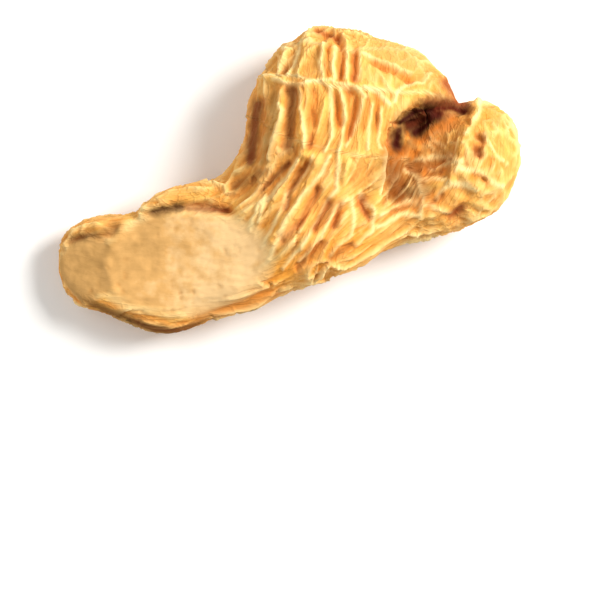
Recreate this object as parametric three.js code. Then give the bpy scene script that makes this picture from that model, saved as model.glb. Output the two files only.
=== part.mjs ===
// A dried ginger root: one flattened, branching rhizome, lying on its broad side.
// Units are millimetres. +Z is up, +X runs from the peeled finger's tip towards the small knob,
// and +Y runs from the finger towards the big knob.
// The origin is at the middle of the part's outline, on the surface that it lies on.
//
// The body is a smooth union of swollen lobes with hollows pressed into it. Its skin is raised
// in relief: a net of long shrinkage ridges that follow the growth of the root, rings where
// leaf scales grew, single ridges and creases, and the torn scar between the two knobs.
import * as THREE from "three";

// Size of a face of the finished skin: along the growth of the root, to its side and up.
const faceSize = { along: 1.7, aside: 0.85, up: 1.05 };
const searchRange = { along: [-5, 80], aside: [-34, 18], up: [-2, 25] }; // where the skin is looked for
const netWidth = 3.2; // across one cell of the ridge net
const netLength = 11; // along one cell of the ridge net
const netRise = 1.2; // from a cell's floor to its strongest ridges
const netMiddle = 0.05; // the net's height, as a share of its rise, that is level with the body
const knobNetWidth = 3.8; // across one cell of the rounder net on the small knob
const knobNetShare = 0.6; // of the ridge net's rise
const ridgeHalf = 0.4; // half width of a ridge, as the share of a cell's edge distance
const crossFade = 0.75; // how much lower a ridge is where it runs across the growth
const cellStep = 0.28; // how much lower one cell's floor can be than another's
const ringRise = 0.5;

// The lobes: where each is centred, its half sizes along, across and up, how far it is
// turned in plan and how far it is tipped up along its length, in degrees.
const lobes = [
  { name: "finger tip", at: [-30.9, -13.3, 5.4], half: [7.4, 7.3, 4.6], turn: 0, tip: 6 },
  { name: "finger", at: [-20.5, -14.2, 6.3], half: [13.5, 9.6, 6.2], turn: 2, tip: 5 },
  { name: "finger low edge", at: [-19.6, -19.4, 5.2], half: [6.6, 4.9, 4.4], turn: -4, tip: 0 },
  { name: "finger root", at: [-8.6, -11.4, 8.2], half: [12.0, 9.8, 7.6], turn: 12, tip: 8 },
  { name: "belly", at: [3.6, -6.6, 9.9], half: [13.0, 9.6, 9.2], turn: 26, tip: 0 },
  { name: "heel root", at: [10.4, -8.0, 8.8], half: [9.0, 5.2, 7.6], turn: 25, tip: 0 },
  { name: "heel", at: [17.4, -3.8, 8.2], half: [12.5, 5.6, 7.2], turn: 18, tip: 0 },
  { name: "shoulder", at: [-4.6, 0.6, 8.5], half: [5.0, 4.5, 6.0], turn: 0, tip: 0 },
  { name: "neck", at: [7.6, 5.0, 10.4], half: [14.4, 12.0, 9.6], turn: 0, tip: 0 },
  { name: "big knob", at: [10.8, 12.0, 10.2], half: [16.6, 11.2, 9.4], turn: 0, tip: 0 },
  { name: "crown", at: [7.5, 18.2, 10.2], half: [9.5, 6.2, 7.4], turn: -4, tip: 0 },
  { name: "small knob", at: [31.4, 3.4, 9.0], half: [6.8, 9.2, 7.6], turn: -6, tip: 0 },
  { name: "small knob root", at: [25.6, -2.2, 7.6], half: [8.0, 5.8, 6.8], turn: 10, tip: 0 },
  { name: "bud", at: [-16.0, -3.2, 9.4], half: [8.0, 2.5, 3.2], turn: 15, tip: 0 },
];
const lobeBlend = 3.2;

// The hollows: ellipsoids pressed into the body from outside.
const hollows = [
  { name: "between the knobs", at: [20.6, 1.4, 21.0], half: [5.2, 11.5, 7.6], turn: -10, tip: 0 },
  { name: "peeled face", at: [-32, -13.6, 69.7], half: [60, 60, 60], turn: 0, tip: 0 },
  { name: "peeled tip", at: [-44.2, -13.6, 36.4], half: [30, 30, 30], turn: 0, tip: 0 },
];
const hollowBlend = 1.6;

// The three low spots that the root lies on, in plan, each flat out to its radius.
const restSpots = [[-20, -14.5], [25, -2.5], [10.5, 15]];
const restRadius = 2.4;
const restFade = 3.5; // width of the band round a spot where the skin runs down to it
const restGap = 0.35; // how far the rest of the underside stays up

// The way that the root grew, in plan, and how high its back is there: from the finger's tip
// up to the crown, and a branch to the small knob.
const stem = [
  [-38, -13.4, 9], [-26, -13.8, 11.5], [-14, -13.2, 13.5], [-6, -10.6, 16.5], [0.5, -5, 19],
  [5.4, 2, 20], [8.6, 10, 20.5], [9.6, 25, 19.5],
];
const branch = [[11, -7, 17], [20, -4.2, 15], [27.5, 0, 15.5], [31.5, 6, 16.5], [32.5, 13, 16]];
const backHeight = 18; // the height that every back is measured as, for the ridge net
const growthReach = 4.6; // how far one stretch of the growth sets the ridges' way

// Rings of old leaf scales across the big knob: where each crosses the middle of the knob,
// how far the ridges jump sideways there and how much of the ring's rise it has.
const rings = [
  { at: [9, 3.9], jump: 1.3, share: 0.35 },
  { at: [9, 15.2], jump: -1.7, share: 1 },
  { at: [9, 21.6], jump: 1.1, share: 0.7 },
];
const ringHalf = 0.9;

// Single ridges and creases on the upper side: points in plan, rise and half width.
const lines = [
  { name: "ring of the big knob", rise: 0.6, half: 0.9,
    at: [[-2.8, 16.7], [2.1, 15.2], [7.1, 15.8], [12, 14.9], [16.2, 14.5]] },
  { name: "flank ridge", rise: 0.9, half: 0.9,
    at: [[2.8, 14.7], [2.5, 9.2], [2.8, 4.1], [5.1, 3.1]] },
  { name: "outer flank ridge", rise: 0.7, half: 0.8,
    at: [[-0.8, 14.2], [-0.6, 10.1], [-1.8, 5.1], [-3, 2.4]] },
  { name: "flank channel", rise: -1.1, half: 1.1,
    at: [[0.9, 14.4], [0.7, 10], [0.2, 5.2]] },
  { name: "outer flank channel", rise: -1.0, half: 1.0,
    at: [[-4.5, 12.6], [-5, 9], [-5.8, 4.3]] },
  { name: "crown slit", rise: -1.1, half: 0.8,
    at: [[5, 24.6], [8.4, 22.9]] },
  { name: "crown slot", rise: -1.0, half: 0.8,
    at: [[10.9, 20.5], [10.9, 16.2]] },
  { name: "crown crease", rise: -0.6, half: 0.8,
    at: [[8.6, 21.4], [9.1, 18.3], [8.5, 16.2]] },
  { name: "crown shoulder", rise: -0.6, half: 0.9,
    at: [[1.9, 21.8], [0.8, 19.1], [-1.4, 17.4]] },
  { name: "knob valley", rise: -0.9, half: 0.9,
    at: [[9.9, 14.2], [10.6, 11.5], [10.5, 9], [9.4, 6.6]] },
  { name: "knob valley left", rise: -0.6, half: 0.8,
    at: [[7.4, 13.2], [8.2, 10], [8.7, 8.6]] },
  { name: "dome crease", rise: -0.6, half: 0.8,
    at: [[14.2, 19], [17.6, 17.4], [20, 16.4]] },
  { name: "dome fold", rise: -0.7, half: 0.8,
    at: [[17.4, 13.2], [18.2, 14.9], [20.6, 16], [22.7, 16.7], [23.2, 18.4]] },
  { name: "scar floor", rise: -1.0, half: 2.6,
    at: [[19, 7.2], [21.6, 8.2], [24.4, 9.6]] },
  { name: "scar hole", rise: -1.6, half: 1.1,
    at: [[18.2, 8.4], [17.9, 5.4]] },
  { name: "scar pit", rise: -1.3, half: 1.2,
    at: [[21.4, 7.6], [23.2, 9.2]] },
  { name: "scar's upper edge", rise: -0.6, half: 1.1,
    at: [[18.8, 9.4], [21.3, 11.2], [25.3, 11.8], [29.2, 11.3]] },
  { name: "stub in the scar", rise: 0.8, half: 1.0,
    at: [[19.9, 6.3], [21.2, 5.4]] },
  { name: "edge of the hollow", rise: 1.0, half: 1.0,
    at: [[15.2, 4.4], [14.8, 0.4], [14.2, -3.2], [13, -6.6]] },
  { name: "hollow crease", rise: -0.8, half: 0.9,
    at: [[26.4, 3.5], [23.4, 2.4], [20.4, 2]] },
  { name: "knob edge", rise: 0.7, half: 0.8,
    at: [[27, 0.5], [29.3, 6.8], [30.7, 11.4]] },
  { name: "knob fold", rise: 0.8, half: 0.8,
    at: [[19.8, -1.6], [25.2, -0.7], [28.4, 0.9], [31, -1.2]] },
  { name: "knob upper pit", rise: -1.2, half: 0.9,
    at: [[31.3, 7], [31.8, 6.7]] },
  { name: "knob lower pit", rise: -1.3, half: 0.9,
    at: [[31, 4.9], [31, 4.1]] },
  { name: "heel crease", rise: -0.9, half: 0.8,
    at: [[27.2, -5.8], [29, -4.4]] },
  { name: "fan ridge", rise: 0.7, half: 0.8,
    at: [[9.5, 2.6], [9.1, -0.8], [7.1, -3], [5.2, -6.8], [2.2, -10.6]] },
  { name: "fan ridge left", rise: 0.7, half: 0.8,
    at: [[5, 2.4], [4, 0.1], [2, -3.1], [-0.3, -6.8], [-2.6, -9.8]] },
  { name: "fan valley", rise: -1.0, half: 0.8,
    at: [[7, -4.2], [6, -6.2], [4.4, -8]] },
  { name: "fan valley left", rise: -0.7, half: 0.8,
    at: [[4.8, -2], [4.2, -4.4], [1.8, -7.2], [-0.8, -9.9]] },
  { name: "belly slot", rise: -0.9, half: 0.8,
    at: [[12.2, -3.6], [13.2, -6.6]] },
  { name: "gap under the bud", rise: -1.5, half: 1.0,
    at: [[-22.1, -5.6], [-18.5, -4.8], [-14, -4.6], [-9.7, -4.6]] },
  { name: "tip groove", rise: -0.9, half: 0.9,
    at: [[-35.4, -9.8], [-33.2, -9.2], [-30.8, -9.4], [-28.8, -8]] },
  { name: "facet edge", rise: 0.4, half: 1.1,
    at: [[-25.8, -5.8], [-28.8, -10.4], [-30, -13.4], [-28.4, -18]] },
];

// The peeled face of the finger, an ellipse in plan with hardly any relief, and the step in
// the skin round it.
const peeled = { at: [-17.4, -13.6], half: [14.2, 8.2], turn: 4 };
const peeledTip = { at: [-32.5, -14], half: [6.0, 5.4], turn: 0 };
const peelStep = 0.3;
// Smoother places: the shoulder of the big knob, its steep left flank, the finger and the
// notch between the two knobs.
const calms = [
  { at: [20, 17.5], half: [10, 7.5], turn: -38, calm: 0.6 },
  { at: [-2.5, 9.5], half: [5.5, 8], turn: 0, calm: 0.5 },
  { at: [-24, -13], half: [17, 13], turn: 4, calm: 0.5 },
  { at: [27, 12.5], half: [5, 4.5], turn: 0, calm: 0.8 },
];
const rounder = { at: [31.5, 3], half: [8.5, 12.5], turn: 0 }; // where the net is as on the small knob

// How the faces are laid along the ridges.
const relaxRounds = 4;
const followShares = [-0.3, -0.15, 0.15, 0.3]; // the slides tried, as shares of the free room
const followLevel = 0.1; // relief above this slides up to the ridge
const leastFacing = 0.3; // a triangle that faces out less than this is close to folding
const foldFault = 5; // how much a fold counts against a way of splitting a face
const cubeCorners = [0, 1].flatMap((c) => [0, 1].flatMap((b) => [0, 1].map((a) => [a, b, c])));

function ellipsoid(shape) {
  const turn = THREE.MathUtils.degToRad(shape.turn);
  const tip = THREE.MathUtils.degToRad(shape.tip);
  const toWorld = new THREE.Matrix4().makeRotationFromEuler(new THREE.Euler(0, -tip, turn, "ZYX"));
  toWorld.setPosition(...shape.at);
  return { inverse: toWorld.invert(), half: new THREE.Vector3(...shape.half) };
}

const lobeShapes = lobes.map(ellipsoid);
const hollowShapes = hollows.map(ellipsoid);

// Roughly how far a point is outside an ellipsoid, negative inside it.
function outside(shape, point) {
  const local = point.clone().applyMatrix4(shape.inverse).divide(shape.half);
  const length = local.length();
  const slope = local.divide(shape.half).length();
  return slope > 1e-9 ? (length * (length - 1)) / slope : -Math.min(...shape.half.toArray());
}

function smoothMin(a, b, blend) {
  const share = Math.max(blend - Math.abs(a - b), 0) / blend;
  return Math.min(a, b) - (share * share * blend) / 4;
}

// The body without its skin's relief: negative inside.
function body(point) {
  let field = Infinity;
  for (const lobe of lobeShapes) field = smoothMin(field, outside(lobe, point), lobeBlend);
  for (const hollow of hollowShapes) field = -smoothMin(-field, outside(hollow, point), hollowBlend);
  return field;
}

function gradient(point) {
  const reach = 0.05;
  const slope = new THREE.Vector3();
  for (const axis of ["x", "y", "z"]) {
    const ahead = point.clone();
    const behind = point.clone();
    ahead[axis] += reach;
    behind[axis] -= reach;
    slope[axis] = (body(ahead) - body(behind)) / (2 * reach);
  }
  return slope;
}

// Moves a point onto the body's surface.
function settle(point) {
  for (let round = 0; round < 3; round++) {
    const slope = gradient(point);
    point.addScaledVector(slope, -body(point) / Math.max(slope.lengthSq(), 0.05));
  }
  return point;
}

// A number from 0 to 1 that looks random and is always the same for the same cell.
function scatter(i, j, k, salt) {
  const wave = Math.sin(i * 127.1 + j * 311.7 + k * 74.7 + salt * 53.3) * 43758.5453;
  return wave - Math.floor(wave);
}

// A net of cells with one seed in each box of a grid: `edge` is 0 on the line between two
// cells and about 1 at a seed, `cross` is 1 where that line runs across the z axis, and `tone`
// is a random number for each cell.
function cellNet(x, y, z, salt) {
  let first = { distance: Infinity };
  let second = first;
  for (let i = Math.floor(x) - 1; i <= Math.floor(x) + 1; i++)
    for (let j = Math.floor(y) - 1; j <= Math.floor(y) + 1; j++)
      for (let k = Math.floor(z) - 1; k <= Math.floor(z) + 1; k++) {
        const inBox = [1, 2, 3].map((n) => 0.1 + 0.8 * scatter(i, j, k, salt + n));
        const seed = new THREE.Vector3(i + inBox[0], j + inBox[1], k + inBox[2]);
        const distance = Math.hypot(seed.x - x, seed.y - y, seed.z - z);
        if (distance < first.distance) {
          second = first;
          first = { seed, distance, tone: scatter(i, j, k, salt) };
        } else if (distance < second.distance) second = { seed, distance };
      }
  const apart = second.seed.sub(first.seed).normalize();
  return { edge: second.distance - first.distance, cross: Math.abs(apart.z), tone: first.tone };
}

// Smooth noise between -1 and 1 with one swell per unit.
function swell(x, y, z, salt) {
  const base = [x, y, z].map(Math.floor);
  const [u, v, w] = [x - base[0], y - base[1], z - base[2]].map((t) => t * t * (3 - 2 * t));
  let sum = 0;
  for (const [a, b, c] of cubeCorners)
    sum +=
      scatter(base[0] + a, base[1] + b, base[2] + c, salt) *
      (a ? u : 1 - u) * (b ? v : 1 - v) * (c ? w : 1 - w);
  return 2 * sum - 1;
}

const smooth = THREE.MathUtils.smoothstep;
const mix = THREE.MathUtils.lerp;

// Stretches of growth: each has a place, a direction, how far along the root it is and how
// far it is to the side of the stem.
function stretches(points, spacing) {
  const curve = new THREE.CatmullRomCurve3(points.map((point) => new THREE.Vector3(...point)));
  const count = Math.round(curve.getLength() / spacing);
  return Array.from({ length: count + 1 }, (_, n) => {
    const at = curve.getPointAt(n / count);
    const way = curve.getTangentAt(n / count).setZ(0).normalize();
    return { at, way, along: (curve.getLength() * n) / count, aside: 0 };
  });
}

// Where a point in plan is along the growth and to its side, and how high the back is there.
function growth(x, y, list) {
  let near = Infinity;
  for (const { at } of list) near = Math.min(near, (x - at.x) ** 2 + (y - at.y) ** 2);
  let weight = 0;
  let along = 0;
  let aside = 0;
  let back = 0;
  let wayX = 0;
  let wayY = 0;
  for (const stretch of list) {
    const dx = x - stretch.at.x;
    const dy = y - stretch.at.y;
    const share = Math.exp((near - dx * dx - dy * dy) / (2 * growthReach ** 2));
    weight += share;
    along += share * (stretch.along + dx * stretch.way.x + dy * stretch.way.y);
    aside += share * (stretch.aside + dy * stretch.way.x - dx * stretch.way.y);
    back += share * stretch.at.z;
    wayX += share * stretch.way.x;
    wayY += share * stretch.way.y;
  }
  return { along: along / weight, aside: aside / weight, back: back / weight, wayX, wayY };
}

const stemStretches = stretches(stem, 2);
const branchStretches = stretches(branch, 2).map((stretch) => {
  return { ...stretch, ...growth(stretch.at.x, stretch.at.y, stemStretches) };
});
const allStretches = [...stemStretches, ...branchStretches];
const ringsAlong = rings.map((ring) => growth(...ring.at, allStretches).along);

// 1 inside an ellipse in plan and 0 outside it, with a soft edge.
function patch(ellipse, x, y, soft) {
  const turn = THREE.MathUtils.degToRad(ellipse.turn);
  const dx = x - ellipse.at[0];
  const dy = y - ellipse.at[1];
  const u = (dx * Math.cos(turn) + dy * Math.sin(turn)) / ellipse.half[0];
  const v = (dy * Math.cos(turn) - dx * Math.sin(turn)) / ellipse.half[1];
  return 1 - smooth(Math.hypot(u, v), 1 - soft, 1 + soft);
}

function distanceToLine(points, x, y) {
  let best = Infinity;
  for (let n = 1; n < points.length; n++) {
    const [ax, ay] = points[n - 1];
    const [bx, by] = points[n];
    const length2 = (bx - ax) ** 2 + (by - ay) ** 2;
    const share = THREE.MathUtils.clamp(((x - ax) * (bx - ax) + (y - ay) * (by - ay)) / length2, 0, 1);
    best = Math.min(best, Math.hypot(x - ax - share * (bx - ax), y - ay - share * (by - ay)));
  }
  return best;
}

// How far the skin stands above the body.
function relief(point, up) {
  const { x, y, z } = point;
  const top = smooth(up, 0.05, 0.45);
  let { along, aside, back } = growth(x, y, allStretches);
  const waver = swell(x / 9, y / 9, z / 9, 5);
  along += 1.4 * waver;
  aside += 0.5 * swell(x / 6, y / 6, z / 6, 9);

  let ring = 0;
  ringsAlong.forEach((place, n) => {
    aside += rings[n].jump * smooth(along - place, -0.5, 0.5);
    ring = Math.max(ring, rings[n].share * Math.exp(-(((along - place) / ringHalf) ** 2)));
  });
  const level = (z / back) * backHeight;
  const long = cellNet(aside / netWidth, level / netWidth, along / netLength, 20);
  const round = cellNet(x / knobNetWidth, y / knobNetWidth, z / knobNetWidth, 40);
  const strength = THREE.MathUtils.clamp(0.75 + 0.6 * swell(x / 5, y / 5, z / 5, 17), 0.25, 1.2);
  const height = (net, fade) =>
    strength * Math.exp(-((net.edge / ridgeHalf) ** 2)) * (1 - fade * net.cross ** 2) -
    cellStep * net.tone;
  const roundHeight = knobNetShare * height(round, 0);
  const netHeight = mix(height(long, crossFade), roundHeight, patch(rounder, x, y, 0.25));

  const bare = Math.max(patch(peeled, x, y, 0.12), patch(peeledTip, x, y, 0.2)) * smooth(up, 0.35, 0.6);
  const calm = Math.max(...calms.map((place) => place.calm * patch(place, x, y, 0.25)));
  let rise = netRise * (netHeight - netMiddle) * (1 - calm) + ringRise * ring * (1 - 0.6 * top);
  rise += 0.45 * swell(x / 7, y / 7, z / 7, 3);
  for (const line of lines) {
    const distance = distanceToLine(line.at, x, y) / line.half;
    rise += top * line.rise * Math.exp(-distance * distance);
  }
  return mix(rise, 0.12 * waver - peelStep, bare);
}

// The point in plan that lies so far along the growth and so far to its side.
function planPoint(along, aside, guess) {
  const reach = 0.01;
  const point = { ...guess };
  for (let round = 0; round < 12; round++) {
    const here = growth(point.x, point.y, allStretches);
    const east = growth(point.x + reach, point.y, allStretches);
    const north = growth(point.x, point.y + reach, allStretches);
    const [alongEast, asideEast] = [east.along - here.along, east.aside - here.aside];
    const [alongNorth, asideNorth] = [north.along - here.along, north.aside - here.aside];
    const turned = alongEast * asideNorth - alongNorth * asideEast;
    const [lackAlong, lackAside] = [along - here.along, aside - here.aside];
    point.x += (reach * (lackAlong * asideNorth - lackAside * alongNorth)) / turned;
    point.y += (reach * (lackAside * alongEast - lackAlong * asideEast)) / turned;
  }
  return point;
}

// A grid of points in plan that bends with the growth, so that faces run along the ridges.
function planGrid() {
  const count = (range, size) => Math.ceil((range[1] - range[0]) / size) + 1;
  const [rows, columns] = ["along", "aside"].map((way) => count(searchRange[way], faceSize[way]));
  const middle = Math.round(-searchRange.aside[0] / faceSize.aside);
  const grid = Array.from({ length: rows }, () => []);
  let start = { x: stem[0][0], y: stem[0][1] };
  for (let i = 0; i < rows; i++) {
    const along = searchRange.along[0] + i * faceSize.along;
    for (const way of [1, -1])
      for (let j = middle; j >= 0 && j < columns; j += way) {
        const guess = j === middle ? start : grid[i][j - way];
        grid[i][j] = planPoint(along, searchRange.aside[0] + j * faceSize.aside, guess);
      }
    start = grid[i][middle];
  }
  return { grid, rows, columns };
}

// Surface nets: one vertex in each cell of the grid that the surface crosses, and one
// four-sided face for each edge of the grid that it crosses.
function netSurface(field) {
  const { grid, rows: nx, columns: ny } = planGrid();
  const nz = Math.ceil((searchRange.up[1] - searchRange.up[0]) / faceSize.up) + 1;
  const index = (i, j, k) => i + nx * (j + ny * k);
  const gridPoint = (i, j, k) =>
    new THREE.Vector3(grid[i][j].x, grid[i][j].y, searchRange.up[0] + k * faceSize.up);
  const values = new Float64Array(nx * ny * nz);
  for (let k = 0; k < nz; k++)
    for (let j = 0; j < ny; j++)
      for (let i = 0; i < nx; i++) values[index(i, j, k)] = field(gridPoint(i, j, k));

  const vertexOf = new Map();
  const vertices = [];
  for (let k = 0; k < nz - 1; k++)
    for (let j = 0; j < ny - 1; j++)
      for (let i = 0; i < nx - 1; i++) {
        const sum = new THREE.Vector3();
        let crossings = 0;
        for (const [a, b, c] of cubeCorners)
          for (const [da, db, dc] of [[1, 0, 0], [0, 1, 0], [0, 0, 1]]) {
            if (a + da > 1 || b + db > 1 || c + dc > 1) continue;
            const here = values[index(i + a, j + b, k + c)];
            const there = values[index(i + a + da, j + b + db, k + c + dc)];
            if (here < 0 === there < 0) continue;
            const end = gridPoint(i + a + da, j + b + db, k + c + dc);
            sum.add(gridPoint(i + a, j + b, k + c).lerp(end, here / (here - there)));
            crossings++;
          }
        if (!crossings) continue;
        vertexOf.set(index(i, j, k), vertices.length);
        vertices.push(sum.divideScalar(crossings));
      }

  const quads = [];
  const directions = [
    { along: [1, 0, 0], u: [0, 1, 0], v: [0, 0, 1] },
    { along: [0, 1, 0], u: [0, 0, 1], v: [1, 0, 0] },
    { along: [0, 0, 1], u: [1, 0, 0], v: [0, 1, 0] },
  ];
  for (let k = 1; k < nz - 1; k++)
    for (let j = 1; j < ny - 1; j++)
      for (let i = 1; i < nx - 1; i++)
        for (const { along, u, v } of directions) {
          const here = values[index(i, j, k)] < 0;
          const there = values[index(i + along[0], j + along[1], k + along[2])] < 0;
          if (here === there) continue;
          const cell = (du, dv) =>
            vertexOf.get(
              index(i - du * u[0] - dv * v[0], j - du * u[1] - dv * v[1], k - du * u[2] - dv * v[2]),
            );
          const quad = [cell(0, 0), cell(1, 0), cell(1, 1), cell(0, 1)];
          quads.push(here ? quad : quad.reverse());
        }
  return { vertices, quads };
}

function findNeighbours({ vertices, quads }) {
  const neighbours = vertices.map(() => new Set());
  for (const quad of quads)
    quad.forEach((corner, n) => {
      neighbours[corner].add(quad[(n + 1) % 4]);
      neighbours[quad[(n + 1) % 4]].add(corner);
    });
  return neighbours;
}

// Evens out the faces: each vertex moves towards the middle of its neighbours and back onto
// the body's surface.
function relax(vertices, neighbours, rounds) {
  for (let round = 0; round < rounds; round++) {
    const middles = vertices.map((vertex, n) => {
      const middle = new THREE.Vector3();
      for (const other of neighbours[n]) middle.add(vertices[other]);
      return middle.divideScalar(neighbours[n].size).lerp(vertex, 0.5);
    });
    middles.forEach((middle, n) => vertices[n].copy(settle(middle)));
  }
}

// Slides a vertex sideways on the body, up to the ridge beside it where it is high and down
// into the valley where it is low, so that the faces' edges lie on the ridges and creases.
function follow(vertex, others) {
  const normal = gradient(vertex).normalize();
  const { wayX, wayY } = growth(vertex.x, vertex.y, allStretches);
  const across = new THREE.Vector3(wayX, wayY, 0).cross(normal).normalize();
  const here = relief(vertex, normal.z);
  const room = Math.min(...others.map((other) => other.distanceTo(vertex)));
  let best = { gain: 0, at: vertex.clone() };
  for (const share of followShares) {
    const at = vertex.clone().addScaledVector(across, share * room);
    const gain = (relief(at, normal.z) - here) * (here > followLevel ? 1 : -1);
    if (gain > best.gain) best = { gain, at };
  }
  vertex.copy(settle(best.at));
}

// Lowers the skin to the ground at the rest spots and keeps the rest of the underside up.
function standOnSpots(point, up) {
  if (up > 0) return;
  const distance = Math.min(...restSpots.map(([x, y]) => Math.hypot(point.x - x, point.y - y)));
  const spot = 1 - smooth(distance, restRadius, restRadius + restFade);
  point.z = mix(Math.max(point.z, restGap), 0, spot * spot);
}

const skin = netSurface(body);
const neighbours = findNeighbours(skin);
relax(skin.vertices, neighbours, relaxRounds);
const others = neighbours.map((list) => [...list].map((n) => skin.vertices[n].clone()));
skin.vertices.forEach((vertex, n) => follow(vertex, others[n]));
const normals = skin.vertices.map((vertex) => gradient(vertex).normalize());
const heights = skin.vertices.map((vertex, n) => {
  const height = relief(vertex, normals[n].z);
  vertex.addScaledVector(normals[n], height);
  standOnSpots(vertex, normals[n].z);
  return height;
});

// How squarely a triangle faces out: 1 along the body's normals there, under 0 if it is folded.
function outwardness([a, b, c]) {
  const [p, q, r] = [a, b, c].map((n) => skin.vertices[n]);
  const facing = q.clone().sub(p).cross(r.clone().sub(p)).normalize();
  return Math.min(...[a, b, c].map((n) => facing.dot(normals[n])));
}

// Each quad is split along the diagonal that stays level, so that edges follow the ridges,
// unless a triangle would fold over.
const triangles = skin.quads.flatMap(([a, b, c, d]) => {
  const splits = [
    { halves: [[a, b, c], [a, c, d]], slope: Math.abs(heights[a] - heights[c]) },
    { halves: [[a, b, d], [b, c, d]], slope: Math.abs(heights[b] - heights[d]) },
  ];
  for (const split of splits) {
    const facing = Math.min(...split.halves.map(outwardness));
    split.fault = split.slope + foldFault * Math.max(0, leastFacing - facing);
  }
  return splits[splits[0].fault <= splits[1].fault ? 0 : 1].halves.flat();
});

const geometry = new THREE.BufferGeometry();
geometry.setAttribute(
  "position",
  new THREE.Float32BufferAttribute(skin.vertices.flatMap((vertex) => vertex.toArray()), 3),
);
geometry.setIndex(triangles);
geometry.computeVertexNormals();

const rhizome = new THREE.Mesh(
  geometry,
  new THREE.MeshStandardMaterial({ color: 0xe3ac57, roughness: 0.8, metalness: 0 }),
);
rhizome.name = "rhizome";

const root = new THREE.Group();
root.add(rhizome);
export default root;
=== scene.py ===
import math
import bmesh
import bpy
import numpy as np
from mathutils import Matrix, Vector


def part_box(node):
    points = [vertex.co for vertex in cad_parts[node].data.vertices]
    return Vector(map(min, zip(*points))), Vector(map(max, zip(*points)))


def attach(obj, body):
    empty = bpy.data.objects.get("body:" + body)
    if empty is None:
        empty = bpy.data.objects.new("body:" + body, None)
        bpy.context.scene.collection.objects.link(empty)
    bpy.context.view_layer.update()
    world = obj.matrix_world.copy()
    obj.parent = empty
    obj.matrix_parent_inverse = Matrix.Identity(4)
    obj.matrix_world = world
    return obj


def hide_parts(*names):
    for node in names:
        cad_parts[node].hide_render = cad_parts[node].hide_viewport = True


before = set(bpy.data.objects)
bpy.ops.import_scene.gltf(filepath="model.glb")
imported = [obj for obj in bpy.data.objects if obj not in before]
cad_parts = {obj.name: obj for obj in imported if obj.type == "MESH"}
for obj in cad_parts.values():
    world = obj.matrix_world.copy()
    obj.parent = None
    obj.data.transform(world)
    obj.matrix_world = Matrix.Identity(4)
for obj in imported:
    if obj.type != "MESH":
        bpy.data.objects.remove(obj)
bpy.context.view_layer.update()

# A dried ginger root, lying on its broad side and seen from straight above.
# Sizes and places of the root are in mm; mm turns them to metres.
mm = 0.001
print("stage: frame loaded")


def srgb(code):  # a colour as #rrggbb, turned to the linear light that shaders work in
    parts = [int(code[n:n + 2], 16) / 255 for n in (1, 3, 5)]
    return tuple(c / 12.92 if c <= 0.04045 else ((c + 0.055) / 1.055) ** 2.4 for c in parts) + (1.0,)


# The body: swollen lobes that run into each other, and hollows pressed into them. Each has its
# centre, half sizes, turn in plan and tip up along its length in degrees.
body = {
    "lobes": {
        "fingerTip": ((-30.9, -13.3, 5.4), (7.4, 7.3, 4.6), 0, 6),
        "finger": ((-20.5, -14.2, 6.3), (13.5, 9.6, 6.2), 2, 5),
        "fingerLowEdge": ((-19.6, -19.4, 5.2), (6.6, 4.9, 4.4), -4, 0),
        "fingerRoot": ((-8.6, -11.4, 8.2), (12.0, 9.8, 7.6), 12, 8),
        "belly": ((3.6, -6.6, 9.9), (13.0, 9.6, 9.2), 26, 0),
        "heelRoot": ((10.4, -8.0, 8.8), (9.0, 5.2, 7.6), 25, 0),
        "heel": ((17.4, -3.8, 8.2), (12.5, 5.6, 7.2), 18, 0),
        "shoulder": ((-4.6, 0.6, 8.5), (5.0, 4.5, 6.0), 0, 0),
        "neck": ((7.6, 5.0, 10.4), (14.4, 12.0, 9.6), 0, 0),
        "bigKnob": ((10.8, 12.0, 10.2), (16.6, 11.2, 9.4), 0, 0),
        "crown": ((7.5, 18.2, 10.2), (9.5, 6.2, 7.4), -4, 0),
        "smallKnob": ((31.4, 3.4, 9.0), (6.8, 9.2, 7.6), -6, 0),
        "smallKnobRoot": ((25.6, -2.2, 7.6), (8.0, 5.8, 6.8), 10, 0),
        "bud": ((-16.0, -3.2, 9.4), (8.0, 2.5, 3.2), 15, 0),
    },
    "hollows": {
        "betweenTheKnobs": ((20.6, 1.4, 21.0), (5.2, 11.5, 7.6), -10, 0),
        "peeledFace": ((-32.0, -13.6, 69.7), (60, 60, 60), 0, 0),
        "peeledTip": ((-44.2, -13.6, 36.4), (30, 30, 30), 0, 0),
    },
    "lobeBlend": 3.2,
    "hollowBlend": 1.6,
    "restSpots": ((-20, -14.5), (25, -2.5), (10.5, 15)),  # the three low spots that it lies on
    "restRadius": 2.4,
    "restFade": 3.5,
    "restGap": 0.35,  # how far the rest of the underside stays up
}


def ellipsoid(shape):
    at, half, turn, tip = shape
    c, s = math.cos(math.radians(turn)), math.sin(math.radians(turn))
    ct, st = math.cos(math.radians(tip)), math.sin(math.radians(tip))
    turned = np.array([[c, -s, 0], [s, c, 0], [0, 0, 1]])
    tipped = np.array([[ct, 0, -st], [0, 1, 0], [st, 0, ct]])
    return np.array(at), np.array(half), turned @ tipped


def outside(shape, points):  # roughly how far the points are outside an ellipsoid
    at, half, turned = shape
    local = (points - at) @ turned / half
    length = np.linalg.norm(local, axis=1)
    slope = np.linalg.norm(local / half, axis=1)
    return length * (length - 1) / np.maximum(slope, 1e-9)


def smoothMin(a, b, blend):
    share = np.maximum(blend - np.abs(a - b), 0) / blend
    return np.minimum(a, b) - share * share * blend / 4


lobeShapes = [ellipsoid(shape) for shape in body["lobes"].values()]
hollowShapes = [ellipsoid(shape) for shape in body["hollows"].values()]


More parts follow.
